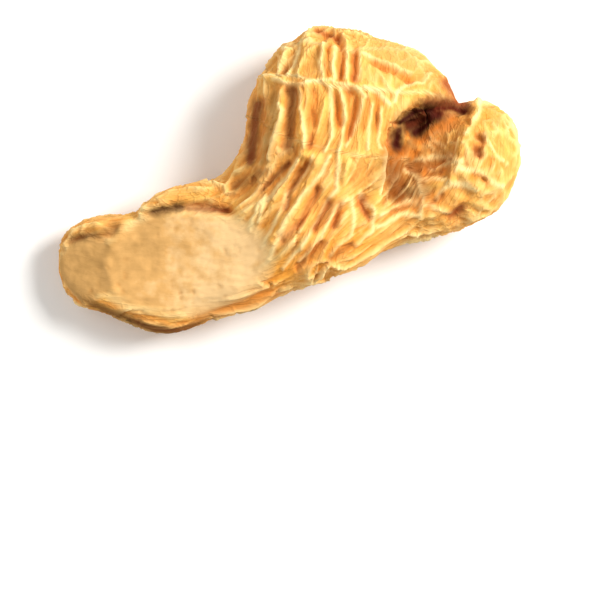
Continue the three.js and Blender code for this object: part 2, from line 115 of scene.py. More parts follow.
def bodyField(points):  # the smooth body, without its wrinkles: negative inside
    field = np.full(len(points), 1e9)
    for shape in lobeShapes:
        field = smoothMin(field, outside(shape, points), body["lobeBlend"])
    for shape in hollowShapes:
        field = -smoothMin(-field, outside(shape, points), body["hollowBlend"])
    return field


def bodySlope(points):
    reach = 0.05
    slope = np.zeros_like(points)
    for axis in range(3):
        step = np.zeros(3)
        step[axis] = reach
        slope[:, axis] = (bodyField(points + step) - bodyField(points - step)) / (2 * reach)
    return slope


def settle(points, rounds=2):  # moves the points onto the smooth body
    for _ in range(rounds):
        slope = bodySlope(points)
        points = points - slope * (bodyField(points) / np.maximum((slope ** 2).sum(1), 0.05))[:, None]
    return points


# The way that the root grew, in plan, and the height of its back: the wrinkles follow it.
growing = {
    "stem": ((-38, -13.4, 9), (-26, -13.8, 11.5), (-14, -13.2, 13.5), (-6, -10.6, 16.5),
             (0.5, -5, 19), (5.4, 2, 20), (8.6, 10, 20.5), (9.6, 25, 19.5)),
    "branch": ((11, -7, 17), (20, -4.2, 15), (27.5, 0, 15.5), (31.5, 6, 16.5), (32.5, 13, 16)),
    "spacing": 2,
    "backHeight": 18,
    "reach": 4.6,
    # Old leaf scales: place, how far the ridges jump there and how much of the ring's rise shows.
    "rings": (((9, 3.9), 1.3, 0.35), ((9, 15.2), -1.7, 1.0), ((9, 21.6), 1.1, 0.7)),
    "ringHalf": 0.9,
}


def curvePoints(corners, places):  # a smooth curve through the corners, at places from 0 to 1
    line = np.array(corners, float)
    line = np.vstack([2 * line[0] - line[1], line, 2 * line[-1] - line[-2]])
    spans = len(corners) - 1
    span = np.clip(np.floor(places * spans).astype(int), 0, spans - 1)
    t = (places * spans - span)[:, None]
    a, b, c, d = (line[span + n] for n in range(4))
    ab, bc, cd = (np.linalg.norm(q - p, axis=1)[:, None] ** 0.5 for p, q in ((a, b), (b, c), (c, d)))
    leave = ((b - a) / ab - (c - a) / (ab + bc) + (c - b) / bc) * bc
    arrive = ((c - b) / bc - (d - b) / (bc + cd) + (d - c) / cd) * bc
    square = 3 * (c - b) - 2 * leave - arrive
    cube = 2 * (b - c) + leave + arrive
    return b + leave * t + square * t ** 2 + cube * t ** 3


def stretches(corners):  # places on the curve at even steps, with the way that it goes there
    even = np.linspace(0, 1, 201)
    steps = np.linalg.norm(np.diff(curvePoints(corners, even), axis=0), axis=1)
    run = np.concatenate([[0], np.cumsum(steps)])
    count = round(run[-1] / growing["spacing"])
    along = np.linspace(0, run[-1], count + 1)
    places = np.interp(along, run, even)
    ahead = curvePoints(corners, np.minimum(places + 1e-4, 1))
    behind = curvePoints(corners, np.maximum(places - 1e-4, 0))
    way = (ahead - behind)[:, :2]
    way = way / np.linalg.norm(way, axis=1)[:, None]
    return {"at": curvePoints(corners, places), "way": way, "along": along, "aside": np.zeros(count + 1)}


def growth(x, y, grown):  # how far along the growth, how far to its side and how high the back is
    dx = x[:, None] - grown["at"][:, 0]
    dy = y[:, None] - grown["at"][:, 1]
    far = dx ** 2 + dy ** 2
    share = np.exp((far.min(1)[:, None] - far) / (2 * growing["reach"] ** 2))
    share /= share.sum(1)[:, None]
    wayX, wayY = grown["way"].T
    along = (share * (grown["along"] + dx * wayX + dy * wayY)).sum(1)
    aside = (share * (grown["aside"] + dy * wayX - dx * wayY)).sum(1)
    return along, aside, (share * grown["at"][:, 2]).sum(1)


stemGrown = stretches(growing["stem"])
branchGrown = stretches(growing["branch"])
branchGrown["along"], branchGrown["aside"], _ = growth(*branchGrown["at"][:, :2].T, stemGrown)
allGrown = {key: np.concatenate([stemGrown[key], branchGrown[key]]) for key in stemGrown}
ringsAlong = growth(*np.array([ring[0] for ring in growing["rings"]], float).T, allGrown)[0]
print("stage: body and growth")


def scatter(i, j, k, salt):  # a number from 0 to 1 that is always the same for the same cell
    wave = np.sin(i * 127.1 + j * 311.7 + k * 74.7 + salt * 53.3) * 43758.5453
    return wave - np.floor(wave)


# A net of cells with a seed in each box of a grid. edge is 0 on the line between two cells, near
# is the way to a seed, and cross is 1 where that line runs across the growth.
def cellNet(x, y, z, salt):
    place = np.stack([x, y, z])
    base = np.floor(place)
    first = np.full(len(x), 1e9)
    second = np.full(len(x), 1e9)
    tone = np.zeros(len(x))
    nearest = np.zeros_like(place)
    other = np.zeros_like(place)
    for step in np.ndindex(3, 3, 3):
        cell = base + np.array(step)[:, None] - 1
        seed = cell + 0.1 + 0.8 * np.stack([scatter(*cell, salt + n) for n in (1, 2, 3)])
        far = np.sqrt(((seed - place) ** 2).sum(0))
        closer = far < first
        runnerUp = ~closer & (far < second)
        other = np.where(closer, nearest, np.where(runnerUp, seed, other))
        second = np.where(closer, first, np.where(runnerUp, far, second))
        tone = np.where(closer, scatter(*cell, salt), tone)
        nearest = np.where(closer, seed, nearest)
        first = np.where(closer, far, first)
    apart = other - nearest
    cross = np.abs(apart[2]) / np.sqrt((apart ** 2).sum(0))
    return {"edge": second - first, "near": first, "tone": tone, "cross": cross}


def swell(x, y, z, salt, size=1):  # smooth noise from -1 to 1 with one swell in each size
    place = (x / size, y / size, z / size)
    base = [np.floor(v) for v in place]
    u, v, w = ((p - b) ** 2 * (3 - 2 * (p - b)) for p, b in zip(place, base))
    total = np.zeros(len(x))
    for a in (0, 1):
        for b in (0, 1):
            for c in (0, 1):
                weight = (u if a else 1 - u) * (v if b else 1 - v) * (w if c else 1 - w)
                total += scatter(base[0] + a, base[1] + b, base[2] + c, salt) * weight
    return 2 * total - 1


def smooth(value, low, high):
    t = np.clip((value - low) / (high - low), 0, 1)
    return t * t * (3 - 2 * t)


def patch(ellipse, x, y, soft):  # 1 inside an ellipse in plan, 0 outside it
    (cx, cy), (halfX, halfY), turn = ellipse
    c, s = math.cos(math.radians(turn)), math.sin(math.radians(turn))
    u = ((x - cx) * c + (y - cy) * s) / halfX
    v = ((y - cy) * c - (x - cx) * s) / halfY
    return 1 - smooth(np.hypot(u, v), 1 - soft, 1 + soft)


def lineDistance(points, x, y):
    best = np.full(len(x), 1e9)
    for (ax, ay), (bx, by) in zip(points, points[1:]):
        share = ((x - ax) * (bx - ax) + (y - ay) * (by - ay)) / ((bx - ax) ** 2 + (by - ay) ** 2)
        share = np.clip(share, 0, 1)
        best = np.minimum(best, np.hypot(x - ax - share * (bx - ax), y - ay - share * (by - ay)))
    return best


# The wrinkled skin. Lines are single ridges and creases of the upper side: rise, half width and
# points in plan. Patches are ellipses in plan: centre, half sizes and turn.
skin = {
    "netWidth": 3.2,
    "netLength": 11,
    "netRise": 1.2,
    "netMiddle": 0.05,  # the net's height, as a share of its rise, that is level with the body
    "knobNetShare": 0.6,
    "knobNetWidth": 3.8,
    "ridgeHalf": 0.36,
    "crestHalf": 0.13,  # the sharp crest that the drying skin pinches up on a ridge
    "crestShare": 0.35,
    "crossFade": 0.75,  # how much lower a ridge is where it runs across the growth
    "cellStep": 0.28,  # how much lower one cell's floor can be than another's
    "fineWidth": 1.5,
    "fineLength": 7.0,
    "fineRise": 0.36,
    "fibreWidth": 0.5,
    "fibreRise": 0.05,
    "fibreLength": 5,
    "fineHalf": 0.27,
    "fineRound": 2.0,  # width of the fine cells on the small knob
    "ringRise": 0.5,
    "ringLineHalf": 0.3,
    "waver": (9, 1.4),  # how the ridges bend to and fro: size and shift along the growth
    "sideWaver": (6, 0.5),
    "strengthSize": 5,  # size of the patches where ridges are stronger or weaker
    "rag": ((2.2, 0.3), (0.8, 0.12)),  # how a line of the skin wanders: size and shift
    "unevenSize": 2.5,
    "besideHalf": 1.1,
    "bulge": (7, 0.45),  # broad unevenness of the skin: size and rise
    "tornHalf": (2.6, 1.2),  # half widths of the torn skin round the scar and along its edge
    "shreds": (0.8, 0.42),  # size and rise
    "peelStep": 0.3,
    "knifeMarks": ((2.4, 0.12), (0.8, 0.05)),  # size and rise
    "facetEdge": (0.9, 0.3),  # half width and rise of the edge between the two cut facets
    "fleckNet": (1.5, 2.1, 2),
    "fleckDepth": 0.16,
    "peeled": ((-17.4, -13.6), (14.2, 8.2), 4),
    "peeledTip": ((-32.6, -14.4), (5.8, 4.8), 0),
    "calms": (((20, 17.5), (10, 7.5), -38, 0.6), ((-2.5, 9.5), (5.5, 8), 0, 0.5),
              ((-24, -13), (17, 13), 4, 0.5), ((27, 12.5), (5, 4.5), 0, 0.8)),
    "rounder": ((31.5, 3), (8.5, 12.5), 0),
    "lines": {
        "bigKnobRing": (0.6, 0.9, ((-2.8, 16.7), (2.1, 15.2), (7.1, 15.8), (12, 14.9), (16.2, 14.5))),
        "flankRidge": (0.9, 0.9, ((2.8, 14.7), (2.5, 9.2), (2.8, 4.1), (5.1, 3.1))),
        "outerFlankRidge": (0.7, 0.8, ((-0.8, 14.2), (-0.6, 10.1), (-1.8, 5.1), (-3, 2.4))),
        "flankChannel": (-1.1, 1.1, ((0.9, 14.4), (0.7, 10), (0.2, 5.2))),
        "outerFlankChannel": (-1.0, 1.0, ((-4.5, 12.6), (-5, 9), (-5.8, 4.3))),
        "crownSlit": (-1.1, 0.8, ((5, 24.6), (8.4, 22.9))),
        "crownSlot": (-1.0, 0.8, ((10.9, 20.5), (10.9, 16.2))),
        "crownCrease": (-0.6, 0.8, ((8.6, 21.4), (9.1, 18.3), (8.5, 16.2))),
        "crownShoulder": (-0.6, 0.9, ((1.9, 21.8), (0.8, 19.1), (-1.4, 17.4))),
        "knobValley": (-0.9, 0.9, ((9.9, 14.2), (10.6, 11.5), (10.5, 9), (9.4, 6.6))),
        "knobValleyLeft": (-0.6, 0.8, ((7.4, 13.2), (8.2, 10), (8.7, 8.6))),
        "domeCrease": (-0.6, 0.8, ((14.2, 19), (17.6, 17.4), (20, 16.4))),
        "domeFold": (-0.7, 0.8, ((17.4, 13.2), (18.2, 14.9), (20.6, 16), (22.7, 16.7), (23.2, 18.4))),
        "scarFloor": (-1.0, 2.6, ((19, 7.2), (21.6, 8.2), (24.4, 9.6))),
        "scarHole": (-1.6, 1.1, ((18.2, 8.4), (17.9, 5.4))),
        "scarPit": (-1.3, 1.2, ((21.4, 7.6), (23.2, 9.2))),
        "scarArc": (-0.6, 1.1, ((18.8, 9.4), (21.3, 11.2), (25.3, 11.8), (29.2, 11.3))),
        "scarStub": (0.8, 1.0, ((19.9, 6.3), (21.2, 5.4))),
        "hollowEdge": (1.0, 1.0, ((15.2, 4.4), (14.8, 0.4), (14.2, -3.2), (13, -6.6))),
        "hollowCrease": (-0.8, 0.9, ((26.4, 3.5), (23.4, 2.4), (20.4, 2))),
        "knobEdge": (0.7, 0.8, ((27, 0.5), (29.3, 6.8), (30.7, 11.4))),
        "knobFold": (0.8, 0.8, ((19.8, -1.6), (25.2, -0.7), (28.4, 0.9), (31, -1.2))),
        "knobUpperPit": (-1.2, 0.9, ((31.3, 7), (31.8, 6.7))),
        "knobLowerPit": (-1.3, 0.9, ((31, 4.9), (31, 4.1))),
        "heelCrease": (-0.9, 0.8, ((27.2, -5.8), (29, -4.4))),
        "fanRidge": (0.7, 0.8, ((9.5, 2.6), (9.1, -0.8), (7.1, -3), (5.2, -6.8), (2.2, -10.6))),
        "fanRidgeLeft": (0.7, 0.8, ((5, 2.4), (4, 0.1), (2, -3.1), (-0.3, -6.8), (-2.6, -9.8))),
        "fanValley": (-1.0, 0.8, ((7, -4.2), (6, -6.2), (4.4, -8))),
        "fanValleyLeft": (-0.7, 0.8, ((4.8, -2), (4.2, -4.4), (1.8, -7.2), (-0.8, -9.9))),
        "bellySlot": (-0.9, 0.8, ((12.2, -3.6), (13.2, -6.6))),
        "budGap": (-1.5, 1.0, ((-22.1, -5.6), (-18.5, -4.8), (-14, -4.6), (-9.7, -4.6))),
        "tipGroove": (-0.9, 0.9, ((-35.4, -9.8), (-33.2, -9.2), (-30.8, -9.4), (-28.8, -8))),
        "facetEdge": (0.4, 1.1, ((-25.8, -5.8), (-28.8, -10.4), (-30, -13.4), (-28.4, -18))),
    },
    # Frayed bits of skin that stand up: place, rise and reach.
    "tufts": (((31.6, 12.6, 11), 1.0, 0.8), ((34.6, 11.6, 11), 0.9, 0.7), ((-7.6, 8.2, 8), 0.9, 1.0),
              ((-7.8, 6.2, 8.5), 0.8, 0.8), ((22.4, 22.0, 9), 0.7, 0.9), ((26.4, 18.4, 9), 0.7, 0.8),
              ((10.5, 25.4, 10), 0.6, 0.9), ((36.8, 9.0, 9), 0.5, 0.8), ((-31, -8.0, 8), 0.6, 1.2)),
    # Thin sharp ridges of the upper side, and narrow folds: rise, half width, colour and points. A fold's
    # brown is partly the skin's own and partly painted shade deep in the fold.
    "veinRise": 0.5,
    "veinHalf": 0.34,
    "veins": {
        "ring": ((-1.8, 16.3), (0, 15.5), (3, 15), (4.1, 15.8), (7.1, 15.8), (11.2, 14.7), (12.4, 13)),
        "flankInner": ((2.3, 14.7), (2.5, 11.7), (3, 8.9), (3, 5.1)),
        "flankOuter": ((-1.3, 12.2), (-0.5, 10.9), (-1.2, 7.6), (-2.6, 3.5)),
        "neckFirst": ((7.1, 14.7), (7.4, 10.6), (7.3, 6.8), (6.3, 4.3)),
        "neckSecond": ((8.7, 14.2), (9.4, 10.9), (8.9, 7.6), (8.7, 5.1), (8.2, 1.8)),
        "neckThird": ((12, 12.5), (11.6, 10.1), (10.7, 7.6), (9.6, 5.1)),
        "neckFourth": ((13.7, 12), (13, 8.4), (12.9, 4.8)),
        "neckFifth": ((15.5, 11.4), (15, 8.4), (14.9, 5.1)),
        "hollowEdge": ((15.7, 5.1), (15.3, 1.8), (14.9, -2.3)),
        "crownFirst": ((5.8, 21.6), (5.4, 18.8), (6.1, 16.3)),
        "crownSecond": ((7.8, 21.3), (7.4, 18.3), (7.9, 16.3)),
        "crownThird": ((9.6, 20.8), (9.7, 18.3), (9.4, 16.3)),
        "crownFourth": ((11.9, 20.5), (11.6, 18.3), (11.4, 16)),
        "crownLeft": ((2.1, 21.9), (1, 19.6), (0.2, 17)),
        "dome": ((12.4, 20.5), (15.3, 19.3), (18.6, 17.7), (20.3, 17.2)),
        "domeFold": ((17.3, 12.5), (17.8, 14.2), (19.5, 15.5), (22.3, 15.8), (23.6, 17.5)),
        "domeLow": ((12.7, 14.7), (14.7, 13.7), (16.7, 12)),
        "fanFirst": ((-3.3, -3.1), (-5.3, -5.9), (-6.4, -8.4)),
        "fanSecond": ((1.7, 3.1), (-0.3, 0.2), (-3.5, -4), (-4.8, -6.8)),
        "fanThird": ((4.6, 3.5), (2.5, 0.2), (0.2, -2.8), (-1.8, -6.8), (-4.1, -11.1)),
        "fanFourth": ((7.1, 3.5), (5.8, 1), (3, -2.1), (0.8, -5.4), (-1.2, -9.4), (-3.1, -13.4)),
        "fanFifth": ((8.2, 1.8), (7.9, -1.5), (6.3, -4), (5, -6.8), (2.6, -10.2), (-0.5, -14.4)),
        "fanSixth": ((9.6, -3.1), (7.9, -4.8), (6.9, -7.1), (5.1, -10.1), (2.1, -13.4)),
        "fanSeventh": ((10.4, -3.1), (11.1, -5.9), (10.4, -9.1), (7.1, -12)),
        "fanEighth": ((11.6, -2.3), (13.9, -5.1), (14, -8.4), (11.4, -10.7)),
        "hollowTop": ((21.1, 3.5), (24.4, 4), (27.7, 3.5)),
        "hollowCross": ((19.5, 1.8), (21.9, -0.2), (22.3, -3.1), (21.9, -5.9)),
        "hollowLow": ((21.9, -0.2), (24.8, 0.2), (27.7, -0.7), (31, -1.5)),
        "hollowNet": ((23.1, 1.8), (25.6, 2.6), (28.5, 3.1), (28.1, 1.5)),
        "hollowFoot": ((24.4, -3.1), (26.4, -1), (29.7, -0.7)),
        "knobEdge": ((29.5, 7.1), (30.9, 9.7), (31.8, 12.5)),
        "knobUpper": ((32.2, 7.6), (33.5, 5.1), (36, 2.6)),
        "knobLower": ((28.5, 1.8), (31.8, 1), (35.1, -1)),
        "heelFirst": ((15.3, -5.6), (19.5, -3.6), (23.3, -4.1), (27.2, -5.4)),
        "heelSecond": ((14.7, -7.8), (18.6, -5.6), (21.9, -5.9)),
    },
    "folds": {
        "neckFirst": (-0.7, 0.5, "#d07a26", ((10.4, 14.5), (11.1, 11.4), (10.1, 6.8))),
        "neckSecond": (-0.6, 0.45, "#d5832c", ((8.1, 13.4), (8.2, 8.7))),
        "neckThird": (-0.6, 0.5, "#d5842e", ((4, 13.7), (4.3, 8.7))),
        "neckFourth": (-0.5, 0.35, "#cf7e2c", ((14.7, 12.5), (14.4, 8.1))),
        "neckFifth": (-0.5, 0.35, "#cf7e2c", ((12.9, 12.5), (12.2, 8.4))),
        "crownFirst": (-0.6, 0.4, "#cf7c28", ((8.7, 21.6), (8.6, 16))),
        "crownSecond": (-0.6, 0.4, "#cf7c28", ((6.6, 21.6), (6.4, 16.7))),
        "domeUnder": (-0.6, 0.45, "#d58a34", ((14.4, 19), (17.3, 17.5), (20, 16.3))),
        "fanFirst": (-0.8, 0.5, "#9c4c12", ((6.8, -3.6), (5.6, -5.8), (4.5, -8.1))),
        "fanSecond": (-0.7, 0.45, "#b0601c", ((5.1, -1.5), (2.1, -6.8), (-0.5, -10.1))),
        "fanThird": (-0.7, 0.45, "#a85818", ((8.7, -4), (7.8, -7.8))),
        "fanFourth": (-0.8, 0.5, "#94420e", ((12.2, -3.6), (13.2, -6.6))),
        "fanFifth": (-0.7, 0.45, "#b0641f", ((2.1, 1.5), (-0.5, -4.8))),
        "fanSixth": (-0.6, 0.45, "#b2651f", ((5.4, -10.6), (1.8, -14.4))),
        "fanSeventh": (-0.6, 0.45, "#b2651f", ((7.1, -12.9), (10.4, -10.7))),
        "fanEighth": (-0.7, 0.5, "#8f4c1a", ((0.2, 2.6), (-4.1, -1.8))),
        "fanNinth": (-0.6, 0.45, "#b0641f", ((3.5, 2.5), (1.2, -0.8))),
        "flankFoot": (-0.6, 0.5, "#b0601c", ((4.1, 6.8), (3.6, 5.1))),
        "hollowFirst": (-0.5, 0.5, "#9c5218", ((23.3, 0.8), (25.2, 1.5))),
        "hollowSecond": (-0.5, 0.5, "#b06420", ((25.2, -2.5), (23.3, -4.1))),
        "heel": (-0.5, 0.45, "#b06a24", ((17.3, -5.1), (21.1, -4.1))),
        "scarMiddle": (-0.9, 1.0, "#3c1206", ((20.2, 9.4), (22.2, 10.4), (24.4, 11.0))),
        "scarShred": (0.5, 0.4, "#5a240e", ((19.6, 9.0), (21.4, 9.4), (22.4, 11.0))),
        "knobFirst": (-0.5, 0.4, "#d08a30", ((29.6, 9.4), (30.4, 8.2))),
        "knobSecond": (-0.5, 0.4, "#cf8a34", ((33.4, 3.4), (34.8, 2.2))),
        "knobThird": (-0.5, 0.4, "#c9822c", ((30.0, 0.4), (32.4, 0.0))),
    },
}


def wrinkle(points, up):  # how far the skin stands above the body, and the maps its colours need
    x, y, z = points.T
    top = smooth(up, 0.05, 0.45)
    along, aside, back = growth(x, y, allGrown)
    waver = swell(x, y, z, 5, skin["waver"][0])
    along = along + skin["waver"][1] * waver
    aside = aside + skin["sideWaver"][1] * swell(x, y, z, 9, skin["sideWaver"][0])
    ring = np.zeros(len(x))
    ringLine = np.zeros(len(x))
    for place, (_, jump, share) in zip(ringsAlong, growing["rings"]):
        aside = aside + jump * smooth(along - place, -0.5, 0.5)
        ring = np.maximum(ring, share * np.exp(-((along - place) / growing["ringHalf"]) ** 2))
        line = share * np.exp(-((along - place) / skin["ringLineHalf"]) ** 2)
        ringLine = np.maximum(ringLine, line)
    level = z / back * growing["backHeight"]
    strength = np.clip(0.75 + 0.6 * swell(x, y, z, 17, skin["strengthSize"]), 0.25, 1.2)

    # Lines of the skin are ragged: the places that they are measured from wander a little.
    (coarse, far), (close, near) = skin["rag"]
    lineX = x + far * swell(x, y, z, 21, coarse) + near * swell(x, y, z, 22, close)
    lineY = y + far * swell(y, z, lineX, 23, coarse) + near * swell(y, z, lineX, 24, close)
    uneven = np.clip(0.85 + 0.7 * swell(lineX, lineY, z, 25, skin["unevenSize"]), 0.2, 1.4)
    veinWay = np.min([lineDistance(line, lineX, lineY) for line in skin["veins"].values()], axis=0)
    vein = np.exp(-(veinWay / (skin["veinHalf"] * (0.75 + 0.5 * strength))) ** 2) * top
    # Wrinkles grow faint beside a strong ridge.
    beside = np.exp(-(veinWay / skin["besideHalf"]) ** 2) * top

    def height(net, fade):
        broad = np.exp(-(net["edge"] / skin["ridgeHalf"]) ** 2)
        crest = np.exp(-(net["edge"] / skin["crestHalf"]) ** 2)
        ridge = (1 - skin["crestShare"]) * broad + skin["crestShare"] * crest
        ridge = ridge * (1 - fade * net["cross"] ** 2) * strength * (1 - 0.5 * beside)
        return ridge - skin["cellStep"] * net["tone"], ridge

    width, length, knob = skin["netWidth"], skin["netLength"], skin["knobNetWidth"]
    rounder = patch(skin["rounder"], lineX, lineY, 0.25)
    longCells = cellNet(aside / width, level / width, along / length, 20)
    roundCells = cellNet(lineX / knob, lineY / knob, z / knob, 40)
    longNet, longRidge = height(longCells, skin["crossFade"])
    roundNet, roundRidge = height(roundCells, 0)
    net = longNet + (skin["knobNetShare"] * roundNet - longNet) * rounder
    ridge = longRidge + (skin["knobNetShare"] * roundRidge - longRidge) * rounder

    face = patch(skin["peeled"], lineX, lineY, 0.16)
    bare = np.maximum(face, patch(skin["peeledTip"], lineX, lineY, 0.2))
    bare = bare * smooth(up, 0.35, 0.6)
    calm = np.max([spot[3] * patch(spot[:3], lineX, lineY, 0.25) for spot in skin["calms"]], axis=0)
    rise = skin["netRise"] * (net - skin["netMiddle"]) * (1 - calm)
    rise += skin["ringRise"] * ring * (1 - 0.6 * top)
    rise += skin["bulge"][1] * swell(lineX, lineY, z, 3, skin["bulge"][0])
    lines = np.zeros(len(x))
    for lift, half, line in skin["lines"].values():
        lines += top * lift * np.exp(-(lineDistance(line, lineX, lineY) / half) ** 2)
    rise += lines + skin["veinRise"] * vein * uneven
    for lift, half, _, line in skin["folds"].values():
        rise += top * lift * uneven * np.exp(-(lineDistance(line, lineX, lineY) / half) ** 2)
    for at, lift, reach in skin["tufts"]:
        rise += lift * np.exp(-((points - np.array(at)) ** 2).sum(1) / reach ** 2)

    fineWidth, fibreWidth = skin["fineWidth"], skin["fibreWidth"]
    fine = cellNet(aside / fineWidth, level / fineWidth, along / skin["fineLength"], 60)
    fineRound = cellNet(*(points.T / skin["fineRound"]), 80)
    fineEdge = fine["edge"] + (fineRound["edge"] - fine["edge"]) * rounder
    fineFade = 1 - 0.6 * fine["cross"] ** 2 * (1 - rounder)
    patchy = np.clip(0.7 + 0.8 * swell(x, y, z, 18, 3), 0, 1.3)
    fineRidge = np.exp(-(fineEdge / skin["fineHalf"]) ** 2) * fineFade * patchy
    fineRidge = fineRidge * (1 - 0.7 * beside)
    fibre = swell(aside / fibreWidth, level / fibreWidth, along / skin["fibreLength"], 70)
    torn = np.zeros(len(x))
    for name, half in zip(("scarFloor", "scarArc"), skin["tornHalf"]):
        way = lineDistance(skin["lines"][name][2], x, y)
        torn = np.maximum(torn, np.exp(-(way / half) ** 2) * top)
    shredSize, shredRise = skin["shreds"]
    shreds = swell(x, y, z, 90, shredSize) + 0.5 * swell(x, y, z, 91, shredSize / 2)
    rise += skin["fineRise"] * (fineRidge - 0.3) * (1 - 0.5 * calm)
    rise += fibre * skin["fibreRise"] + shredRise * shreds * torn

    # The cut face: knife marks, a low edge between its two facets, and flecks of fibre ends.
    cut = 0.12 * waver - skin["peelStep"] + 0.06 * swell(x / 3, y / 0.6, z / 0.6, 14)
    for salt, (size, lift) in zip((12, 13), skin["knifeMarks"]):
        cut += lift * swell(x, y, z, salt, size)
    half, lift = skin["facetEdge"]
    cut += lift * np.exp(-(lineDistance(skin["lines"]["facetEdge"][2], x, y) / half) ** 2)
    seeds = cellNet(*(points / np.array(skin["fleckNet"])).T, 33)
    way = seeds["near"] + 0.16 * swell(x, y, z, 34, 0.5)
    fleck = np.exp(-(way / (0.08 + 0.2 * seeds["tone"])) ** 2) * smooth(seeds["tone"], 0.4, 0.7)
    fleck = fleck * smooth(swell(x, y, z, 35, 4), -0.5, 0.3)
    cut -= skin["fleckDepth"] * fleck
    rise = rise + (cut - rise) * bare
    # A pale rim runs round the cut face, where bare is half.
    pale = ridge ** 2 + (0.5 + 0.1 * rounder) * fineRidge + vein + 0.6 * ringLine
    maps = {
        "peeled": bare,
        # Painted shade: the cut face darkens towards its tip facet, which faces away from the light.
        "cutTipShade": smooth(x, -31, -8),
        "speck": 0.45 * fleck * bare,
        "ridge": np.clip(pale + 2.4 * bare * (1 - bare), 0, 1.2),
        "torn": torn,
        "grown": np.stack([aside, level, along], axis=1),
    }
    return rise, maps


# The finer mesh: the built solid's own faces, each split in sixteen, laid back on the smooth body,
# evened out and wrinkled again.
mesh = {
    "splits": 3,  # new points on each edge of the solid
    "evenRounds": 14,
    "insideTheBox": 0.02,  # how far the piece stays inside the solid's outline
}


def splitCopy(node):  # the node's mesh as points in mm and triangles, merged and split finer
    work = bmesh.new()
    work.from_mesh(node.data)
    bmesh.ops.remove_doubles(work, verts=work.verts, dist=1e-6)
    bmesh.ops.subdivide_edges(work, edges=work.edges[:], cuts=mesh["splits"], use_grid_fill=True)
    bmesh.ops.triangulate(work, faces=work.faces[:])
    work.verts.ensure_lookup_table()
    points = np.array([v.co for v in work.verts]) / mm
    triangles = np.array([[v.index for v in face.verts] for face in work.faces])
    work.free()
    return points, triangles


points, triangles = splitCopy(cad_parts["rhizome"])
edges = np.unique(np.sort(triangles[:, [0, 1, 1, 2, 2, 0]].reshape(-1, 2), axis=1), axis=0)
bothWays = np.concatenate([edges, edges[:, ::-1]])
neighbours = bothWays[np.argsort(bothWays[:, 0], kind="stable"), 1]
degree = np.bincount(bothWays[:, 0])
starts = np.concatenate([[0], np.cumsum(degree)[:-1]])


def blurred(values, rounds=1):  # each value becomes the mean of itself and its neighbours' mean
    count = degree if values.ndim == 1 else degree[:, None]
    for _ in range(rounds):
        values = 0.5 * values + 0.5 * np.add.reduceat(values[neighbours], starts) / count
    return values


points = settle(points, 4)
for _ in range(mesh["evenRounds"]):
    points = settle(blurred(points), 1)
normals = bodySlope(points)
normals /= np.linalg.norm(normals, axis=1)[:, None]
rise, maps = wrinkle(points, normals[:, 2])
points = points + normals * rise[:, None]
print("stage: skin of", len(triangles), "triangles")

spots = np.min([np.hypot(points[:, 0] - x, points[:, 1] - y) for x, y in body["restSpots"]], axis=0)
spot = 1 - smooth(spots, body["restRadius"], body["restRadius"] + body["restFade"])
under = normals[:, 2] <= 0
lifted = np.maximum(points[:, 2], body["restGap"])
points[:, 2] = np.where(under, lifted * (1 - spot ** 2), points[:, 2])
low, high = (np.array(corner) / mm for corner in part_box("rhizome"))
inset = np.array([mesh["insideTheBox"], mesh["insideTheBox"], 0])
points = np.clip(points, low + inset, high - inset)

# Maps for the colours, worked out below from the relief: a ridge-to-valley map, high on ridges and low in
# valleys, for paler crests and browner valleys, partly the skin's own colour and partly painted shade in
# the valleys; side, high where the skin is steep, for painted orange shade on the steep flanks; and sunk,
# high deep in a hollow, for painted shade there.
wearAndShade = {
    "near": (40, 1.2),  # rounds of blurring, and the height in mm from valley to ridge
    "wornShift": -0.15,
    "far": (200, 1.8),
    "sunkShare": 0.8,
    "sideShare": 0.65,
    "steep": (0.1, 0.75),  # up part of the normal from wholly steep to not steep
}
rounds, reach = wearAndShade["near"]
maps["worn"] = np.clip(0.5 + (rise - blurred(rise, rounds)) / reach, 0, 1) + wearAndShade["wornShift"]
# Painted shade: an orange tint where the skin turns steep, standing in for the warm shade on the flanks.
maps["side"] = wearAndShade["sideShare"] * (1 - smooth(normals[:, 2], *wearAndShade["steep"]))
# Painted shade: sunk browns the skin deep in a hollow, towards the fold colour.
rounds, reach = wearAndShade["far"]
sunk = np.clip((blurred(points[:, 2], rounds) - points[:, 2]) / reach, 0, 1)
maps["sunk"] = wearAndShade["sunkShare"] * sunk * smooth(normals[:, 2], 0, 0.3)
